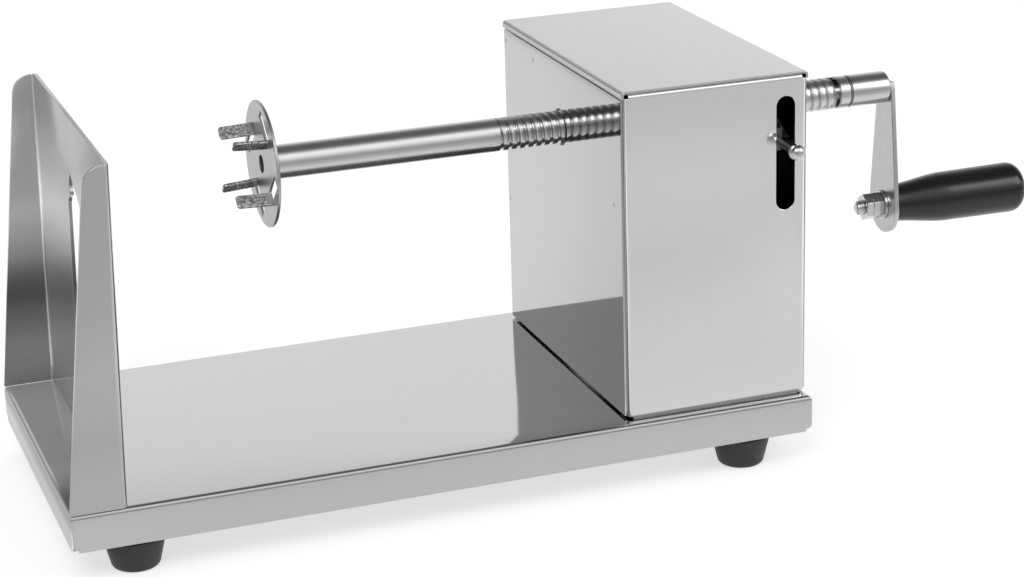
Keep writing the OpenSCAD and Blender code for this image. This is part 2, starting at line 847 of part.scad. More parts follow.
turn_share = 0.1;
thread_turns = floor(thread_l / thread_pitch + turn_share) + 1;
tube_r = tube_d / 2;
root_r = tube_r - thread_depth;
core_d = tube_bore_d / 2 + root_r;
nut_first_turn = floor((nut_x0 - thread_x0) / thread_pitch) - 1;
nut_turns = ceil(nut_l / thread_pitch) + 2;
nut_groove_w = thread_groove_w - 2 * nut_clearance;

module half_nut() {
    shift = (nut_groove_w - thread_groove_w) / 2;
    color("#c8a860") placed() difference() {
        translate([nut_x0, -nut_w / 2, axis_z + nut_bottom]) cube([nut_l, nut_w, nut_top - nut_bottom]);
        translate([shift, 0, axis_z])
            thread_form(
                thread_x0 - thread_pitch + (nut_first_turn + 1) * thread_pitch, nut_turns,
                tube_r + nut_clearance, root_r + nut_clearance, nut_groove_w
            );
        nut_screw_places()
            translate([0, 0, nut_top - nut_screw_head_h])
                cylinder(h = nut_screw_head_h + over, d = nut_screw_d, $fn = round_fn);
    }
}

module threaded_tube() {
    color("silver") placed() difference() {
        union() {
            rod_x(tube_x0, thread_x0, tube_d);
            translate([0, 0, axis_z])
                thread_form(
                    thread_x0 - thread_pitch, thread_turns, tube_r - land_gap, root_r, thread_groove_w
                );
            rod_x(thread_x1, tube_x1, tube_d);
            rod_x(thread_x0 - thread_pitch, tube_x1, core_d);
        }
        rod_x(tube_x0 - over, tube_x1 + over, tube_bore_d);
        rod_x(tube_x1 - spigot_l - spigot_gap, tube_x1 + over, spigot_d);
    }
}

module tine_outline() {
    polygon([
        [disc_t, 0], [disc_t, tine_w], [tine_chamfer - tine_l, tine_w], [-tine_l, tine_w - tine_chamfer],
        [-tine_l, tine_chamfer], [tine_chamfer - tine_l, 0]
    ]);
}

// Fork disc with four tines bent out of it, each beside the window that it came from
module fork_disc() {
    color("lightgray") placed() {
        difference() {
            rod_x(disc_x, tube_x0, disc_d);
            rod_x(disc_x - over, tube_x0 + over, tube_bore_d);
            for (k = [0 : 3]) translate([disc_x, 0, axis_z]) rotate([45 + 90 * k, 0, 0])
                translate([-over, tine_inner_r, -tine_l]) cube([disc_t + 2 * over, tine_w, tine_l]);
        }
        for (k = [0 : 3]) translate([disc_x, 0, axis_z]) rotate([45 + 90 * k, 0, 0])
            translate([0, tine_inner_r, 0]) rotate([0, -tine_lean, 0])
                linear_extrude(disc_t) tine_outline();
    }
}

// Crank

hub_chamfer = 1.2;

module spacer_ring() {
    color("dimgray") placed() difference() {
        rod_x(tube_x1 + ring_play, tube_x1 + ring_play + ring_t, tube_d - ring_play);
        rod_x(tube_x1 - over, tube_x1 + ring_t + over, spigot_d + 2 * ring_play);
    }
}

module crank_hub() {
    color("silver") placed() {
        rod_x(tube_x1 - spigot_l, hub_x0, spigot_d);
        rod_x(hub_x0, hub_x1 - hub_chamfer, tube_d);
        translate([hub_x1 - hub_chamfer, 0, axis_z]) rotate([0, 90, 0])
            cylinder(h = hub_chamfer, d1 = tube_d, d2 = tube_d - 2 * hub_chamfer, $fn = round_fn);
    }
}

grip_z = axis_z - crank_r;
arm_half_w = tube_r - hub_chamfer / 2;
arm_angle = asin((arm_end_r - arm_half_w) / crank_r);

module crank_arm() {
    color("silver") placed() difference() {
        translate([0, 0, axis_z]) along_x(hub_x1, arm_x1) polygon(concat(
            [[arm_half_w, 0], [arm_half_w - hub_chamfer, arm_top], [hub_chamfer - arm_half_w, arm_top]],
            [[-arm_half_w, 0]],
            arc_points([0, -crank_r], arm_end_r, 180 - arm_angle, 360 + arm_angle, 4 * corner_steps)
        ));
        rod_x(hub_x1 - over, arm_x1 + over, bolt_d + 2 * screw_clearance, 0, grip_z);
    }
}

bolt_head_d = 10.5;
bolt_head_h = 4;
bolt_chamfer = 0.8;
bolt_head_x = grip_x1 - bolt_head_h - play * 5;
bolt_x0 = hub_x1 - bolt_tip_l;

module grip_bolt() {
    color("silver") placed() {
        translate([bolt_x0, 0, grip_z]) rotate([0, 90, 0])
            cylinder(h = bolt_chamfer, d1 = bolt_d - 2 * bolt_chamfer, d2 = bolt_d, $fn = round_fn);
        rod_x(bolt_x0 + bolt_chamfer, bolt_head_x, bolt_d, 0, grip_z);
        rod_x(bolt_head_x, bolt_head_x + bolt_head_h, bolt_head_d, 0, grip_z);
    }
}

module grip_washers() {
    color("silver") placed() difference() {
        union() {
            rod_x(hub_x1 - washer_t, hub_x1, washer_d, 0, grip_z);
            rod_x(arm_x1, arm_x1 + washer_t, washer_d, 0, grip_z);
        }
        rod_x(hub_x1 - washer_t - over, arm_x1 + washer_t + over, bolt_d + 2 * screw_clearance, 0, grip_z);
    }
}

module grip_nut() {
    x1 = hub_x1 - washer_t;
    color("silver") placed() difference() {
        hex_x(x1 - grip_nut_h, x1, grip_nut_af, 0, grip_z);
        rod_x(x1 - grip_nut_h - over, x1 + over, bolt_d, 0, grip_z);
    }
}

module lock_nut() {
    x1 = hub_x1 - washer_t - grip_nut_h;
    color("silver") placed() difference() {
        hex_x(x1 - lock_nut_h, x1, grip_nut_af, 0, grip_z);
        rod_x(x1 - lock_nut_h - over, x1 + over, bolt_d, 0, grip_z);
    }
}

grip_swell_share = 0.42;
grip_swell_steps = 8;
grip_rise_share = 0.9;

// Radius of the grip along its length, easing from the neck to the belly and then widening slowly
function grip_r(x) =
    let (s = min(1, x / (grip_swell_share * grip_l)), ease = s * s * (3 - 2 * s))
    let (slow = max(0, x / grip_l - grip_swell_share) / (1 - grip_swell_share))
    let (swell = (grip_d - grip_neck_d) / 2)
    grip_neck_d / 2 + swell * (grip_rise_share * ease + (1 - grip_rise_share) * slow);

module grip() {
    straight_l = grip_l - grip_end_r;
    end_r = grip_r(straight_l);
    bore_r = bolt_d / 2 + running;
    pocket_r = bolt_head_d / 2 + play;
    pocket_x = bolt_head_x - grip_x0 - play;
    color("#161618") placed() translate([grip_x0, 0, grip_z]) rotate([0, 90, 0])
        rotate_extrude($fn = round_fn) polygon(concat(
            [[bore_r, 0]],
            [for (i = [0 : 2 * grip_swell_steps])
                let (x = straight_l * i / (2 * grip_swell_steps)) [grip_r(x), x]],
            [for (i = [1 : corner_steps]) let (a = 90 * i / corner_steps)
                [end_r - grip_end_r * (1 - cos(a)) * (end_r - pocket_r - play) / grip_end_r,
                 straight_l + grip_end_r * sin(a)]],
            [[pocket_r, grip_l], [pocket_r, pocket_x], [bore_r, pocket_x]]
        ));
}

base_plate();
foot(true, -1);  // front_left_foot
foot(false, -1);  // front_right_foot
foot(true, 1);  // back_left_foot
foot(false, 1);  // back_right_foot
foot_studs();
foot_washers();
foot_nuts();
blade_stand();
cutting_blade();
blade_screws();
blade_nuts();
housing_front();
housing_back();
housing_left();
housing_right();
housing_lid();
housing_angles();
angle_screws();
angle_nuts();
left_bush();
right_bush();
lever_bracket();
lever_pivot();
pivot_clip();
release_lever();
half_nut();
nut_screws();
release_pin();
spacer_ring();
threaded_tube();
fork_disc();
crank_hub();
crank_arm();
grip_bolt();
grip_washers();
grip_nut();
lock_nut();
grip();
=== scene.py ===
import math

import bmesh
import bpy
from mathutils import Matrix, Vector


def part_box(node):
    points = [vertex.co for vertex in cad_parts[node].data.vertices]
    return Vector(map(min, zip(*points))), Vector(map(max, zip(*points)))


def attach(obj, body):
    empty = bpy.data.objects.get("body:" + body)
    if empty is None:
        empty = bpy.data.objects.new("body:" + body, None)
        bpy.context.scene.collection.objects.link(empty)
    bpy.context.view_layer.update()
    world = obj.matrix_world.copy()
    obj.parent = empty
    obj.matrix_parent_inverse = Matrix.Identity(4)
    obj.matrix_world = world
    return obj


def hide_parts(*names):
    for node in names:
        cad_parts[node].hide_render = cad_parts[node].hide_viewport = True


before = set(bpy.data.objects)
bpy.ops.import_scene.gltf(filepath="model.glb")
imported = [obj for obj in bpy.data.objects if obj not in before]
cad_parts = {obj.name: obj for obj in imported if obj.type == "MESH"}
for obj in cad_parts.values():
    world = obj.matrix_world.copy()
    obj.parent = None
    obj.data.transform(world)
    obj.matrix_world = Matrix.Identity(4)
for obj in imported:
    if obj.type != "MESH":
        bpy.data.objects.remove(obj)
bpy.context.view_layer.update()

print("frame loaded:", len(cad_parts), "nodes")

mm = 0.001


def nodeSpan(name, axis=0):  # a node's lowest and highest place along an axis, in mm
    low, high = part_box(name)
    return low[axis] / mm, high[axis] / mm


def nodeMiddle(name, axis):
    low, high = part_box(name)
    return (low[axis] + high[axis]) / 2 / mm


def nodeRadius(name):  # of a round node that lies along the shaft
    low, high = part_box(name)
    return (high.z - low.z) / 2 / mm


leftEnd = nodeSpan("base_plate")[0]  # the base's left end
deck = nodeSpan("base_plate", 2)[1]  # the base's polished top
shaftY, shaftZ = nodeMiddle("left_bush", 1), nodeMiddle("left_bush", 2)
gripZ = nodeMiddle("grip", 2)


# Camera

cameraPlan = {
    "eye": (-0.35125, -0.95180, 0.41390),
    "azimuth": 19.247,
    "elevation": 18.963,
    "roll": -1.721,
    "lens": 91.84,
    "sensor": 36,
    "clip": (0.05, 20),
}


def makeCamera():
    plan = cameraPlan
    az, el, roll = (math.radians(plan[k]) for k in ("azimuth", "elevation", "roll"))
    look = Vector((math.sin(az) * math.cos(el), math.cos(az) * math.cos(el), -math.sin(el)))
    right = look.cross(Vector((0, 0, 1))).normalized()
    up = right.cross(look)
    side = right * math.cos(roll) + up * math.sin(roll)
    top = up * math.cos(roll) - right * math.sin(roll)
    data = bpy.data.cameras.new("studioCamera")
    data.sensor_width, data.lens = plan["sensor"], plan["lens"]
    data.clip_start, data.clip_end = plan["clip"]
    camera = bpy.data.objects.new("studioCamera", data)
    turn = Matrix((side, top, -look)).transposed().to_4x4()
    camera.matrix_world = Matrix.Translation(Vector(plan["eye"])) @ turn
    bpy.context.scene.collection.objects.link(camera)
    bpy.context.scene.camera = camera


makeCamera()
print("camera placed")


# Shader maths: a wire wraps an output socket, and an expression on wires adds its Math nodes

class Wire:
    def __init__(self, finish, socket):
        self.finish, self.socket = finish, socket

    def math(self, operation, *values):
        node = self.finish.add("ShaderNodeMath", {"operation": operation}, dict(enumerate(values)))
        return node["Value"]

    def __add__(self, other): return self.math("ADD", self, other)
    def __radd__(self, other): return self.math("ADD", other, self)
    def __sub__(self, other): return self.math("SUBTRACT", self, other)
    def __rsub__(self, other): return self.math("SUBTRACT", other, self)
    def __mul__(self, other): return self.math("MULTIPLY", self, other)
    def __rmul__(self, other): return self.math("MULTIPLY", other, self)
    def __truediv__(self, other): return self.math("DIVIDE", self, other)
    def __rtruediv__(self, other): return self.math("DIVIDE", other, self)


class Outputs:
    def __init__(self, finish, node):
        self.finish, self.node = finish, node

    def __getitem__(self, name):
        socket = next(s for s in self.node.outputs if s.name == name and s.enabled)
        return Wire(self.finish, socket)


class Finish:
    def __init__(self, owner):
        owner.use_nodes = True
        self.owner, self.tree = owner, owner.node_tree
        self.tree.nodes.clear()

    def add(self, kind, settings=None, values=None):
        node = self.tree.nodes.new(kind)
        for key, value in (settings or {}).items():
            if key == "stops":  # the first stop is at 0 and the last at 1
                elements = node.color_ramp.elements
                for place, level in value[1:-1]:
                    elements.new(place).color = grey(level)
                elements[0].color, elements[-1].color = grey(value[0][1]), grey(value[-1][1])
            else:
                setattr(node, key, value)
        for key, value in (values or {}).items():
            socket = node.inputs[key] if isinstance(key, int) else next(
                s for s in node.inputs if s.name == key and s.enabled)
            if isinstance(value, Wire):
                self.tree.links.new(value.socket, socket)
            else:
                socket.default_value = value
        return Outputs(self, node)

    def ramp(self, way, start, end, first, last):  # start and end in mm
        return self.add("ShaderNodeMapRange", {"interpolation_type": "SMOOTHSTEP"}, {
            "Value": way, "From Min": start * mm, "From Max": end * mm,
            "To Min": first, "To Max": last})["Result"]

    def shade(self, ramps):  # each ramp: axis, start and end in mm, first and last factor
        level = 1.0
        ways = self.ways() if ramps else None
        for axis, start, end, first, last in ramps:
            level = level * self.ramp(ways[axis], start, end, first, last)
        return level

    def blend(self, mask, first, second):
        return self.add("ShaderNodeMix", {"data_type": "RGBA"}, {
            "Factor": mask, "A": first, "B": second})["Result"]

    def multiply(self, first, second):
        return self.add("ShaderNodeMix", {"data_type": "RGBA", "blend_type": "MULTIPLY"}, {
            "Factor": 1.0, "A": first, "B": second})["Result"]

    def gradient(self, stops, share):
        return self.add("ShaderNodeValToRGB", {"stops": stops}, {"Fac": share})["Color"]

    def place(self, stretch=(1, 1, 1)):
        point = self.add("ShaderNodeTexCoord")["Object"]
        return self.add("ShaderNodeMapping", None, {"Vector": point, "Scale": stretch})["Vector"]

    def ways(self):  # the point's X, Y and Z
        return self.add("ShaderNodeSeparateXYZ", None, {"Vector": self.place()})

    def noise(self, scale, stretch=(1, 1, 1), detail=3.0):
        return self.add("ShaderNodeTexNoise", None, {
            "Vector": self.place(stretch), "Scale": scale, "Detail": detail})["Fac"]

    def bump(self, height, depth, strength):
        return self.add("ShaderNodeBump", None, {
            "Height": height, "Distance": depth, "Strength": strength})["Normal"]

    def surface(self, **values):
        shader = self.add("ShaderNodeBsdfPrincipled", None, {
            key.replace("_", " "): value for key, value in values.items()})
        self.add("ShaderNodeOutputMaterial", None, {"Surface": shader["BSDF"]})
        return self.owner

    def seenDirectly(self, path):  # 1 for the camera and through glass
        return path["Is Camera Ray"].math("MAXIMUM", path["Is Camera Ray"], path["Is Transmission Ray"])


def grey(level):
    return (level, level, level, 1)


brushed = (1, 14, 14)  # how a noise is squeezed into streaks along the shaft

sheetPlan = {
    "cloud": 9, "grain": 60, "smudge": 34, "ripple": 7,  # scales of the noises
    "cloudTone": 0.06, "smudgeHaze": 0.6, "rippleBump": (0.002, 0.012),
    "weld": (0.5, 1.3), "weldTone": 0.45, "weldDepth": 0.6,  # a weld print's radii in mm
    # inside the stand the deck is less metallic, and its tone is raised there: painted light
    "fogMetal": 0.5, "fogTone": 0.15,
}


def polishedSheet(name, tone, gloss, haze, ramps=(), spots=(), dullLitPlace=(), paintedLightAndShade=()):
    plan = sheetPlan
    finish = Finish(bpy.data.materials.new(name))
    cloud = finish.noise(plan["cloud"], detail=2)
    grain = finish.noise(plan["grain"], brushed)
    smudge = finish.noise(plan["smudge"])
    height = finish.noise(plan["ripple"], detail=1)
    # the ramps paint light and shade into the tone by place
    level = tone * (1 - plan["cloudTone"] / 2 + plan["cloudTone"] * cloud) * finish.shade(ramps)
    for spot in spots:  # the print of a spot weld
        away = finish.add("ShaderNodeVectorMath", {"operation": "DISTANCE"}, {
            0: finish.place(), 1: tuple(v * mm for v in spot)})["Value"]
        mark = finish.ramp(away, *plan["weld"], 1.0, 0.0)
        level, height = level * (1 - plan["weldTone"] * mark), height - plan["weldDepth"] * mark
    # painted light where a factor is above 1, painted shade where it is below 1
    for times, where in paintedLightAndShade:  # where, as ramps, the tone is so many times brighter
        level = level * (1.0 + (times - 1.0) * finish.shade(where))
    # inside the stand: less metallic, with painted light in the tone
    dullLitShare = finish.shade(dullLitPlace) if dullLitPlace else 0.0
    return finish.surface(
        Metallic=1.0 - plan["fogMetal"] * dullLitShare,
        Base_Color=finish.blend(level * (1.0 + plan["fogTone"] * dullLitShare), grey(0.0), grey(1.0)),
        Roughness=gloss + haze * grain + plan["smudgeHaze"] * haze * smudge,
        Normal=finish.bump(height, *plan["rippleBump"]),
    )


# painted reflections, light and shade by height: on the web, the back cheek and the front cheek's outer
# face
standPlan = {  # share of the stand's height, level
    "web": [(0.0, 0.50), (0.10, 0.55), (0.15, 0.65), (0.21, 0.66), (0.28, 0.48), (0.35, 0.40),
            (0.42, 0.27), (0.49, 0.23), (0.55, 0.35), (0.62, 0.63), (0.69, 0.95), (0.75, 0.95),
            (0.82, 0.76), (0.88, 0.62), (0.95, 0.48), (1.0, 0.40)],
    "cheek": [(0.0, 0.09), (0.09, 0.13), (0.16, 0.22), (0.22, 0.12), (0.29, 0.09), (0.35, 0.38),
              (0.42, 0.95), (0.48, 1.0), (0.55, 0.74), (0.62, 0.56), (0.68, 0.63), (0.75, 0.86),
              (0.81, 1.0), (0.88, 1.0), (1.0, 1.0)],
    "outer": [(0.0, 0.39), (0.09, 0.41), (0.21, 0.42), (0.32, 0.50), (0.44, 0.58), (0.56, 0.60),
              (0.67, 0.59), (1.0, 0.57)],
    "height": 131.0,
    "slant": 1.5,  # how far the web's gradient shifts for each metre towards the back
    # painted shade in the web's top front corner
    "corner": 0.5,  # how much darker the web is towards its top front corner
    "metal": 0.8, "frontMetal": 0.2, "backMetal": 0.45,
    "grain": 60, "ripple": 7, "rippleBump": (0.002, 0.012),
}


def standSheet(name, gloss, haze):
    plan = standPlan
    finish = Finish(bpy.data.materials.new(name))
    front, back = nodeSpan("blade_stand", 1)
    ways = finish.ways()
    rise = (ways["Z"] - deck * mm) / (plan["height"] * mm)
    # painted reflections by height; on the web they shift towards the back
    web = finish.gradient(plan["web"], rise + plan["slant"] * (ways["Y"] - shaftY * mm))
    cheek = finish.gradient(plan["cheek"], rise)
    outer = finish.gradient(plan["outer"], rise)
    atBack = finish.ramp(ways["Y"], back - 1.8, back - 1.2, 0.0, 1.0)
    atFront = finish.ramp(ways["Y"], front + 0.2, front + 1.0, 1.0, 0.0)
    # painted shade towards the web's top front corner
    corner = finish.shade([
        ("Y", shaftY, shaftY + 32, 1.0, 0.0), ("Z", deck + 82, deck + 108, 0.0, 1.0)])
    web = finish.blend(plan["corner"] * corner, web, grey(0.0))
    return finish.surface(
        Metallic=plan["metal"] + plan["frontMetal"] * atFront - plan["backMetal"] * atBack,
        Base_Color=finish.blend(atFront, finish.blend(atBack, web, cheek), outer),
        Roughness=gloss + haze * finish.noise(plan["grain"], brushed),
        Normal=finish.bump(finish.noise(plan["ripple"], detail=1), *plan["rippleBump"]),
    )


turnedPlan = {
    "rings": 900, "ringStretch": (1, 0.02, 0.02), "wear": 120, "spread": (0.92, 1.05),
    "ringHaze": 0.10, "wearHaze": 0.06, "ringBump": (0.0001, 0.25),
}


def turnedSteel(name, tone, gloss):
    plan = turnedPlan
    finish = Finish(bpy.data.materials.new(name))
    rings = finish.noise(plan["rings"], plan["ringStretch"], detail=4)
    wear = finish.noise(plan["wear"])
    return finish.surface(
        Metallic=1.0,
        Base_Color=finish.blend(wear, *(grey(tone * share) for share in plan["spread"])),
        Roughness=gloss + plan["ringHaze"] * rings + plan["wearHaze"] * wear,
        Normal=finish.bump(rings, *plan["ringBump"]),
    )


stampedPlan = {
    "speck": 260, "cloud": 70, "speckHaze": 0.14, "depth": 0.0002,
    "pits": 950, "pitEdges": (400, 600), "pitTones": (0.60, 1.65),
}


def stampedSteel(name, tone, gloss, spread=(0.86, 1.06), rough=0.2, pitted=None):
    plan = stampedPlan
    finish = Finish(bpy.data.materials.new(name))
    speck = finish.noise(plan["speck"])
    cloud = finish.noise(plan["cloud"])
    colour = finish.blend(cloud, *(grey(tone * share) for share in spread))
    if pitted:  # where, as ramps: dark pits and bright specks
        pits = finish.ramp(finish.noise(plan["pits"]), *plan["pitEdges"], *plan["pitTones"])
        colour = finish.blend(finish.shade(pitted), colour, pits * colour)
    return finish.surface(
        Metallic=1.0,
        Base_Color=colour,
        Roughness=gloss + plan["speckHaze"] * speck,
        Normal=finish.bump(speck, plan["depth"], rough),
    )


rubberPlan = {"grain": 700, "cloud": 60, "tones": (0.016, 0.026), "gloss": 0.42, "haze": 0.12,
              "grainBump": (0.0002, 0.25)}


def blackRubber(name):
    plan = rubberPlan
    finish = Finish(bpy.data.materials.new(name))
    grain = finish.noise(plan["grain"])
    return finish.surface(
        Base_Color=finish.blend(finish.noise(plan["cloud"]), *map(grey, plan["tones"])),
        Roughness=plan["gloss"] + plan["haze"] * grain,
        Normal=finish.bump(grain, *plan["grainBump"]),
    )


plasticPlan = {"cloud": 45, "peel": 220, "tones": (0.007, 0.011), "gloss": 0.16, "haze": 0.06,
               "specular": 0.44, "peelBump": (0.0002, 0.10)}


def blackPlastic(name):
    plan = plasticPlan
    finish = Finish(bpy.data.materials.new(name))
    cloud = finish.noise(plan["cloud"])
    return finish.surface(
        Base_Color=finish.blend(cloud, *map(grey, plan["tones"])),
        Roughness=plan["gloss"] + plan["haze"] * cloud,
        Specular_IOR_Level=plan["specular"],
        Normal=finish.bump(finish.noise(plan["peel"], detail=1), *plan["peelBump"]),
    )


brassPlan = {"cloud": 90, "dark": (0.55, 0.38, 0.16, 1), "light": (0.68, 0.50, 0.24, 1),
             "gloss": 0.28, "haze": 0.12}


def bearingBrass(name):
    plan = brassPlan
    finish = Finish(bpy.data.materials.new(name))
    cloud = finish.noise(plan["cloud"])
    return finish.surface(
        Metallic=1.0,
        Base_Color=finish.blend(cloud, plan["dark"], plan["light"]),
        Roughness=plan["gloss"] + plan["haze"] * cloud,
    )


discFace = nodeSpan("fork_disc")[1] - 1.2  # the disc's face that carries the tines
weldSpots = [(5.2, 34.1, 152.9), (5.2, 67.0, 154.2), (5.2, 67.2, 84.3), (5.2, -53.7, 115.1)]
inStand = [("Z", deck - 0.5, deck - 0.2, 0.0, 1.0), ("X", leftEnd + 20.5, leftEnd + 22.5, 1.0, 0.0)]
# painted light on the housing's front and back: the tone grows with height, and a painted shade eases
# it near the top
frontPaintedLightAndShade = [("Z", deck + 5, deck + 85, 1.0, 1.57), ("Z", deck + 95, deck + 133, 1.0, 0.86)]
# painted shade on the base: its flanges and the fold band along its top edge are darker, and so is its
# left end face; the deck's top keeps its tone
basePaintedShade = [("Z", deck - 1.5, deck - 1.0, 0.79, 0.66), ("Z", deck - 0.6, deck - 0.3, 1.0, 1.515),
             ("X", leftEnd + 0.4, leftEnd + 1.6, 0.92, 1.0)]
# painted light on the lower part of the base's left end face; painted shade on the deck inside the
# stand towards the front, standing in for the dark cheek's reflection
basePaintedLightAndShade = [
    (2.05, [("X", leftEnd + 0.05, leftEnd + 0.5, 1.0, 0.0), ("Z", deck - 9.0, deck - 3.5, 1.0, 0.0)]),
    (0.13, inStand + [("Y", shaftY - 56, shaftY - 22, 1.0, 0.0)])]
finishes = {
    "lid": polishedSheet("mirrorSheetLid", tone=0.52, gloss=0.10, haze=0.04),
    "front": polishedSheet("mirrorSheetFront", tone=0.60, gloss=0.07, haze=0.04, ramps=frontPaintedLightAndShade),
    # painted shade on the side sheets: darker towards the front
    "side": polishedSheet("mirrorSheetSide", tone=0.512, gloss=0.03, haze=0.02,
                          ramps=[("Y", -70, 40, 0.88, 1.0)], spots=weldSpots),
    "base": polishedSheet("mirrorSheetBase", tone=0.575, gloss=0.045, haze=0.03, ramps=basePaintedShade,
                          dullLitPlace=inStand, paintedLightAndShade=basePaintedLightAndShade),
    "stand": standSheet("mirrorSheetStand", gloss=0.09, haze=0.05),
    "tube": turnedSteel("turnedTube", tone=0.58, gloss=0.16),
    "hub": turnedSteel("turnedHub", tone=0.56, gloss=0.15),
    "fork": stampedSteel("stampedFork", tone=0.50, gloss=0.26,
                         pitted=[("X", discFace - 2.0, discFace - 1.2, 1.0, 0.0)]),
    "arm": stampedSteel("stampedArm", tone=0.51, gloss=0.22, spread=(0.95, 1.02), rough=0.06),
    "bright": stampedSteel("brightFastener", tone=0.60, gloss=0.14),
    "inner": stampedSteel("innerSteel", tone=0.42, gloss=0.34),
    "blade": turnedSteel("groundBlade", tone=0.60, gloss=0.14),
    "dark": stampedSteel("darkRing", tone=0.18, gloss=0.35),
    "rubber": blackRubber("blackRubber"),
    "plastic": blackPlastic("blackPlastic"),
    "brass": bearingBrass("bearingBrass"),
}
print("finishes mixed:", len(finishes))


# Making pieces: shapes are drawn in millimetres from the row's origin

def finishPiece(name, bm, finish, body, node, angle=35, edge=0.0, scaled=False):
    if not scaled:
        bmesh.ops.scale(bm, vec=(mm, mm, mm), verts=bm.verts)
    bmesh.ops.recalc_face_normals(bm, faces=bm.faces)
    mesh = bpy.data.meshes.new(name)
    bm.to_mesh(mesh)
    bm.free()
    if "custom_normal" in mesh.attributes:
        mesh.attributes.remove(mesh.attributes["custom_normal"])
    mesh.shade_smooth()
    mesh.set_sharp_from_angle(angle=math.radians(angle))
    mesh.materials.append(finishes[finish])
    piece = bpy.data.objects.new(name, mesh)
    bpy.context.scene.collection.objects.link(piece)
    if edge:
        bevel = piece.modifiers.new("softEdges", "BEVEL")
        bevel.width, bevel.segments = edge * mm, 2
        bevel.limit_method, bevel.angle_limit = "ANGLE", math.radians(30)
        bevel.harden_normals = False
    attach(piece, body)
    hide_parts(node)


def fillet(corner, radius, start, end, steps):  # an arc's points, its angles in degrees
    turns = [math.radians(start + (end - start) * i / steps) for i in range(steps + 1)]
    return [(corner[0] + radius * math.cos(a), corner[1] + radius * math.sin(a)) for a in turns]


def revolve(bm, profile, centre, axis="x", steps=64):  # profile points are (along the axis, radius)
    a, b = centre
    if axis == "x":
        spots, middle, way = [(s, a, b + r) for s, r in profile], (0, a, b), (1, 0, 0)
    elif axis == "y":
        spots, middle, way = [(a, s, b + r) for s, r in profile], (a, 0, b), (0, 1, 0)
    else:
        spots, middle, way = [(a + r, b, s) for s, r in profile], (a, b, 0), (0, 0, 1)
    verts = [bm.verts.new(spot) for spot in spots]
    edges = [bm.edges.new(pair) for pair in zip(verts, verts[1:])]
    bmesh.ops.spin(bm, geom=verts + edges, cent=middle, axis=way, angle=math.tau, steps=steps,
                   use_merge=True)
    bmesh.ops.remove_doubles(bm, verts=bm.verts, dist=1e-4)


def screwThread(bm, start, turns, pitch, profile, centre, steps):  # points are (along, radius)
    y, z = centre
    verts = [bm.verts.new((start + s, y, z + r)) for s, r in profile]
    edges = [bm.edges.new(pair) for pair in zip(verts, verts[1:])]
    bmesh.ops.spin(bm, geom=verts + edges, cent=(0, y, z), axis=(1, 0, 0), dvec=(pitch / steps, 0, 0),
                   angle=math.tau * turns, steps=steps * turns, use_merge=False)
    bmesh.ops.remove_doubles(bm, verts=bm.verts, dist=1e-3)


# Folded sheets and stamped plates: a CAD node's own shape with worn edges

wornPieces = {  # node: piece, finish, body, slot, edge in mm
    "base_plate": ("baseTray", "base", "frame", "polished_sheet", 0.25),
    "blade_stand": ("bladeStand", "stand", "frame", "polished_sheet", 0.25),
    "cutting_blade": ("cuttingBlade", "blade", "frame", "blade_steel", 0.08),
    "housing_front": ("housingFront", "front", "frame", "polished_sheet", 0.15),
    "housing_back": ("housingBack", "front", "frame", "polished_sheet", 0.15),
    "housing_left": ("housingLeft", "side", "frame", "polished_sheet", 0.2),
    "housing_right": ("housingRight", "side", "frame", "polished_sheet", 0.2),
    "housing_lid": ("housingLid", "lid", "frame", "polished_sheet", 0.2),
    "housing_angles": ("housingAngles", "inner", "frame", "inner_steel", 0.2),
    "lever_bracket": ("leverBracket", "inner", "frame", "inner_steel", 0.2),
    "fork_disc": ("forkDisc", "fork", "shaft", "brushed_steel", 0.22),
    "crank_arm": ("crankArm", "arm", "shaft", "brushed_steel", 0.3),
    "grip_nut": ("gripNut", "bright", "shaft", "bright_fasteners", 0.35),
    "lock_nut": ("lockNut", "bright", "shaft", "bright_fasteners", 0.35),
    "grip_washers": ("gripWashers", "bright", "shaft", "bright_fasteners", 0.2),
    "release_lever": ("releaseLever", "inner", "lever", "brushed_steel", 0.3),
    "half_nut": ("halfNut", "brass", "lever", "bearing_brass", 0.1),
}


def wearPiece(node, name, finish, body, slot, edge):
    bm = bmesh.new()
    bm.from_mesh(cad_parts[node].data)
    bmesh.ops.remove_doubles(bm, verts=bm.verts, dist=2e-6)
    bmesh.ops.dissolve_limit(bm, angle_limit=math.radians(0.5), verts=bm.verts, edges=bm.edges)
    finishPiece(name, bm, finish, body, node, edge=edge, scaled=True)


for node, plan in wornPieces.items():
    wearPiece(node, *plan)
print("sheets softened")


# Feet

footPlan = {"top": 12.0, "bottom": 9.5, "height": 13.0, "edge": 2.2, "shoulder": 0.8, "neck": 7.5,
            "pocket": 5.8, "depth": 7.0, "bore": 2.7, "lip": 0.25}


def makeFoot(name, node):
    plan = footPlan
    top = nodeSpan(node, 2)[1]
    lean = math.degrees(math.atan((plan["top"] - plan["bottom"]) / plan["height"]))
    edge, shoulder, lip = plan["edge"], plan["shoulder"], plan["lip"]
    outer = fillet((plan["bottom"] - edge, edge), edge, -90, -lean, 7)
    rim = fillet((plan["top"] - shoulder, plan["height"] - shoulder), shoulder, 0, 90, 4)
    profile = [(plan["depth"], plan["bore"]), (plan["depth"], plan["pocket"]), (lip, plan["pocket"]),
               (0.0, plan["pocket"] + lip)] + [(z, r) for r, z in outer + rim]
    profile += [(plan["height"], plan["neck"]), (top, plan["neck"]), (top, plan["bore"])]
    bm = bmesh.new()
    revolve(bm, profile + profile[:1], (nodeMiddle(node, 0), nodeMiddle(node, 1)), "z", 56)
    finishPiece(name, bm, "rubber", "frame", node, 50)


for side in ("front", "back"):
    for end in ("left", "right"):
        makeFoot(side + end.capitalize() + "Foot", side + "_" + end + "_foot")
print("feet moulded")


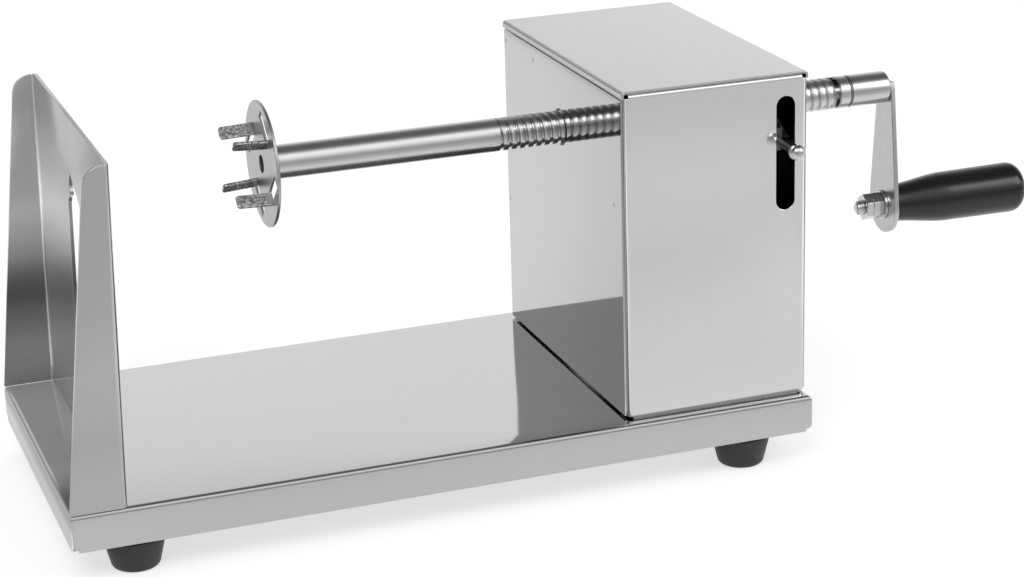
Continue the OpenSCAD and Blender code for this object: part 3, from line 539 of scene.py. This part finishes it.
# Shaft tube with its thread

tubePlan = {
    "bore": 3.6, "deep": 120.0, "plain": 96, "thread": 150, "core": 0.5, "edge": 0.2, "chamfer": 0.5,
    "pitch": 3.5, "depth": 0.90, "land": 2.15, "soft": 0.12,
    "crestShy": 0.02, "crestRound": 0.3, "rootRound": 0.4,
}


def makeTube():
    plan = tubePlan
    start, end = nodeSpan("threaded_tube")
    radius = nodeRadius("threaded_tube")
    centre = (shaftY, shaftZ)
    core, edge, chamfer = plan["core"], plan["edge"], plan["chamfer"]
    threadStart = start + plan["plain"]
    threadEnd = start + (plan["plain"] + plan["thread"])
    bm = bmesh.new()
    revolve(bm, [(start + plan["deep"], 0), (start + plan["deep"], plan["bore"]), (start, plan["bore"]),
                 (start, radius - edge), (start + edge, radius), (threadStart - chamfer, radius),
                 (threadStart, radius - chamfer), (threadStart, core)], centre, steps=72)
    revolve(bm, [(threadEnd, core), (threadEnd, radius - chamfer), (threadEnd + chamfer, radius),
                 (end - edge, radius), (end, radius - edge), (end, core)], centre, steps=72)
    land, soft, pitch = plan["land"], plan["soft"], plan["pitch"]
    crest, root = radius - plan["crestShy"], radius - plan["depth"]
    crestEdge, rootEdge = crest - soft * plan["crestRound"], root + soft * plan["rootRound"]
    middle = (land + pitch) / 2
    profile = [(0, crestEdge), (soft, crest), (land - soft, crest), (land, crestEdge),
               (middle - soft, rootEdge), (middle, root), (middle + soft, rootEdge), (pitch, crestEdge)]
    turns = int((threadEnd - threadStart) / pitch) + 1
    screwThread(bm, threadStart - pitch, turns, pitch, profile, centre, 36)
    finishPiece("threadedTube", bm, "tube", "shaft", "threaded_tube", 30)


makeTube()
print("tube threaded")


# Crank hub, bolt and grip

hubPlan = {"sleeve": 3.9, "play": 0.1, "edge": 0.3, "round": 1.2}


def makeHub():
    plan = hubPlan
    start, end = nodeSpan("crank_hub")
    radius = nodeRadius("crank_hub")
    face = nodeSpan("spacer_ring")[1] + plan["play"]
    bm = bmesh.new()
    revolve(bm, [(start, 0), (start, plan["sleeve"]), (face, plan["sleeve"]),
                 (face, radius - plan["edge"]), (face + plan["edge"], radius)]
            + fillet((end - plan["round"], radius - plan["round"]), plan["round"], 90, 0, 6)
            + [(end, 0)], (shaftY, shaftZ), steps=72)
    finishPiece("crankHub", bm, "hub", "shaft", "crank_hub", 40)


boltPlan = {
    "radius": 3.0, "pitch": 1.0, "turns": 11, "core": 0.3, "threadFrom": 0.3, "shankFrom": 1.2,
    "tip": ((0.0, 1.1), (0.3, 0.7), (1.3, 0.45)),  # along, below the shank's radius
    "groove": ((0.0, 0.05), (0.12, 0.0), (0.3, 0.05), (0.6, 0.5), (0.7, 0.5), (1.0, 0.05)),
    "headRadius": 5.25, "headHeight": 4.0, "headEdge": 0.3, "headRound": 0.5,
    "socket": 2.2, "socketDeep": 2.4,
}


def makeBolt():
    plan = boltPlan
    start, end = nodeSpan("grip_bolt")
    centre = (shaftY, gripZ)
    radius, pitch, head = plan["radius"], plan["pitch"], plan["headRadius"]
    shank = start + plan["shankFrom"] + plan["turns"] * pitch
    seat, floor = end - plan["headHeight"], end - plan["socketDeep"]
    tip = [(start + s, radius - below) for s, below in plan["tip"]]
    bm = bmesh.new()
    revolve(bm, [(start, 0)] + tip + [(tip[-1][0], plan["core"])], centre, steps=40)
    groove = [(s, radius - below) for s, below in plan["groove"]]
    screwThread(bm, start + plan["threadFrom"], plan["turns"], pitch, groove, centre, 28)
    revolve(bm, [(shank, plan["core"]), (shank, radius), (seat, radius),
                 (seat, head - plan["headEdge"]), (seat + plan["headEdge"], head),
                 (end - plan["headRound"], head), (end, head - plan["headRound"]),
                 (end, plan["socket"]), (floor, plan["socket"]), (floor, 0)], centre, steps=48)
    finishPiece("gripBolt", bm, "bright", "shaft", "grip_bolt", 40)


gripPlan = {"neck": 7.9, "belly": 10.85, "swell": 0.42, "share": 0.9, "end": 5.5, "bore": 3.06,
            "pocket": 5.55, "pocketDepth": 5.8, "pocketRim": 0.4, "pocketEdge": 0.3, "lip": 0.7,
            "steps": 40}


def makeGrip():
    plan = gripPlan
    start, end = nodeSpan("grip")
    length = end - start
    lip, bore, pocket, steps = plan["lip"], plan["bore"], plan["pocket"], plan["steps"]

    def radiusAt(s):  # a quick swell behind the neck, then a slow one
        near = min(1, s / (plan["swell"] * length))
        slow = max(0, s / length - plan["swell"]) / (1 - plan["swell"])
        rise = plan["share"] * near * near * (3 - 2 * near) + (1 - plan["share"]) * slow
        return plan["neck"] + (plan["belly"] - plan["neck"]) * rise

    straight = length - plan["end"]
    profile = [(start, bore), (start, radiusAt(0) - lip)]
    for a in map(math.radians, (22, 45, 68, 90)):
        profile.append((start + lip * (1 - math.cos(a)), radiusAt(lip) - lip * (1 - math.sin(a))))
    for i in range(1, steps + 1):
        s = lip + (straight - lip) * i / steps
        profile.append((start + s, radiusAt(s)))
    rim, mouth = radiusAt(straight), pocket + plan["pocketRim"]
    for a in map(math.radians, range(9, 91, 9)):
        profile.append((start + straight + plan["end"] * math.sin(a),
                        rim - (rim - mouth) * (1 - math.cos(a))))
    floor = end - plan["pocketDepth"]
    profile += [(end - plan["pocketEdge"], pocket), (floor, pocket), (floor, bore), (start, bore)]
    bm = bmesh.new()
    revolve(bm, profile, (shaftY, gripZ), steps=96)
    finishPiece("crankGrip", bm, "plastic", "grip", "grip", 40)


makeHub()
makeBolt()
makeGrip()
print("crank made")


# Release pin with its domed end

pinPlan = {"radius": 2.0, "dome": 3.3, "domeTurn": 138, "neck": 0.4, "edge": 0.4}


def makePin():
    plan = pinPlan
    tip, root = nodeSpan("release_pin", 1)
    radius, dome, edge = plan["radius"], plan["dome"], plan["edge"]
    centre = nodeMiddle("release_pin", 0), nodeMiddle("release_pin", 2)
    turns = [math.radians(a) for a in range(0, plan["domeTurn"] + 1, 6)]
    profile = [(tip + dome - dome * math.cos(a), dome * math.sin(a)) for a in turns]
    profile += [(profile[-1][0] + plan["neck"], radius), (root - edge, radius), (root, radius - edge),
                (root, 0)]
    bm = bmesh.new()
    revolve(bm, profile, centre, "y", 40)
    finishPiece("releasePin", bm, "bright", "lever", "release_pin", 50)


makePin()
print("release pin made")


# Small pieces that keep their CAD shape

carried = {
    "bright": ("foot_studs", "foot_washers", "foot_nuts", "blade_screws", "blade_nuts", "angle_screws",
               "angle_nuts", "nut_screws", "lever_pivot", "pivot_clip"),
    "brass": ("left_bush", "right_bush"),
    "dark": ("spacer_ring",),
}
for finish, nodes in carried.items():
    for node in nodes:
        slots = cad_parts[node].data.materials
        slots.clear()
        slots.append(finishes[finish])
print("small pieces finished")


# Studio: pale floor, soft lamps, and a world that metal shows as a bright room

floorPlan = {
    "size": 6, "paint": 0.55, "glow": 0.62,
    "far": ("Y", -400, -60, 0.12, 1.0),  # how the glow that metal shows fades in front
    # a painted shadow in that glow beside the base's left end
    "beside": [("X", leftEnd - 75, leftEnd - 30, 0.0, 1.0), ("X", leftEnd, leftEnd + 5, 1.0, 0.0)],
    "besideFade": 0.6,
}


def makeFloor():
    plan = floorPlan
    bm = bmesh.new()
    bmesh.ops.create_grid(bm, x_segments=1, y_segments=1, size=plan["size"])
    mesh = bpy.data.meshes.new("studioFloor")
    bm.to_mesh(mesh)
    bm.free()
    floor = bpy.data.objects.new("studioFloor", mesh)
    finish = Finish(bpy.data.materials.new("paleFloor"))
    path = finish.add("ShaderNodeLightPath")
    # the glow that metal shows, with a painted shadow beside the base's left end
    fade = finish.shade([plan["far"]]) * (1.0 - plan["besideFade"] * finish.shade(plan["beside"]))
    seen = finish.seenDirectly(path)
    seen = seen.math("MAXIMUM", seen, path["Is Glossy Ray"] * fade)
    paint = finish.add("ShaderNodeBsdfDiffuse", None, {"Color": grey(plan["paint"])})["BSDF"]
    glow = finish.add("ShaderNodeEmission", None, {
        "Color": grey(1.0), "Strength": plan["glow"] * seen})["Emission"]
    both = finish.add("ShaderNodeAddShader", None, {0: paint, 1: glow})["Shader"]
    finish.add("ShaderNodeOutputMaterial", None, {"Surface": both})
    mesh.materials.append(finish.owner)
    bpy.context.scene.collection.objects.link(floor)


roomPlan = {
    "around": [(0.0, 0.27), (0.05, 0.39), (0.10, 0.54), (0.15, 0.76), (0.20, 0.90), (0.24, 1.0),
               (0.27, 0.98), (0.31, 0.80), (0.34, 0.50), (0.37, 0.29), (0.40, 0.18), (0.44, 0.11),
               (0.47, 0.09), (0.53, 0.10), (0.60, 0.09), (0.70, 0.17), (0.78, 0.34), (0.86, 0.64),
               (1.0, 0.64)],
    "side": [(0.0, 0.50), (0.40, 0.55), (0.56, 1.0), (1.0, 1.0)],
    "bright": 1.56,
    "plain": 0.62,  # what lights the pieces, where metal doesn't mirror it
}


def makeWorld():
    plan = roomPlan
    world = bpy.data.worlds.new("studioWorld")
    finish = Finish(world)
    path = finish.add("ShaderNodeLightPath")
    way = finish.add("ShaderNodeSeparateXYZ", None, {
        "Vector": finish.add("ShaderNodeTexCoord")["Generated"]})
    turn = way["Z"].math("ARCTAN2", way["Z"], 0 - way["Y"]) / math.pi  # 0 front, 0.5 above, 1 behind
    room = finish.multiply(finish.gradient(plan["around"], turn),
                           finish.gradient(plan["side"], 0.5 + 0.5 * way["X"]))
    room = finish.multiply(room, grey(plan["bright"]))
    colour = finish.blend(path["Is Glossy Ray"], grey(plan["plain"]), room)
    colour = finish.blend(finish.seenDirectly(path), colour, grey(1.0))
    shine = finish.add("ShaderNodeBackground", None, {"Color": colour, "Strength": 1.0})["Background"]
    finish.add("ShaderNodeOutputWorld", None, {"Surface": shine})
    bpy.context.scene.world = world


lampPlan = {  # place, size, power
    "keyLamp": ((-0.9, -1.3, 1.7), 1.0, 12),
    "fillLamp": ((1.2, -0.9, 1.0), 0.8, 5),
}
lampTarget = (0, 0, 0.08)


def makeLamp(name, place, size, power):
    data = bpy.data.lights.new(name, "AREA")
    data.shape, data.size, data.size_y, data.energy = "RECTANGLE", size, size, power
    lamp = bpy.data.objects.new(name, data)
    aim = (Vector(lampTarget) - Vector(place)).to_track_quat("-Z", "Y")
    lamp.matrix_world = Matrix.Translation(Vector(place)) @ aim.to_matrix().to_4x4()
    bpy.context.scene.collection.objects.link(lamp)


makeFloor()
makeWorld()
for name, plan in lampPlan.items():
    makeLamp(name, *plan)
bpy.context.scene.view_settings.view_transform = "Standard"
print("studio lit")
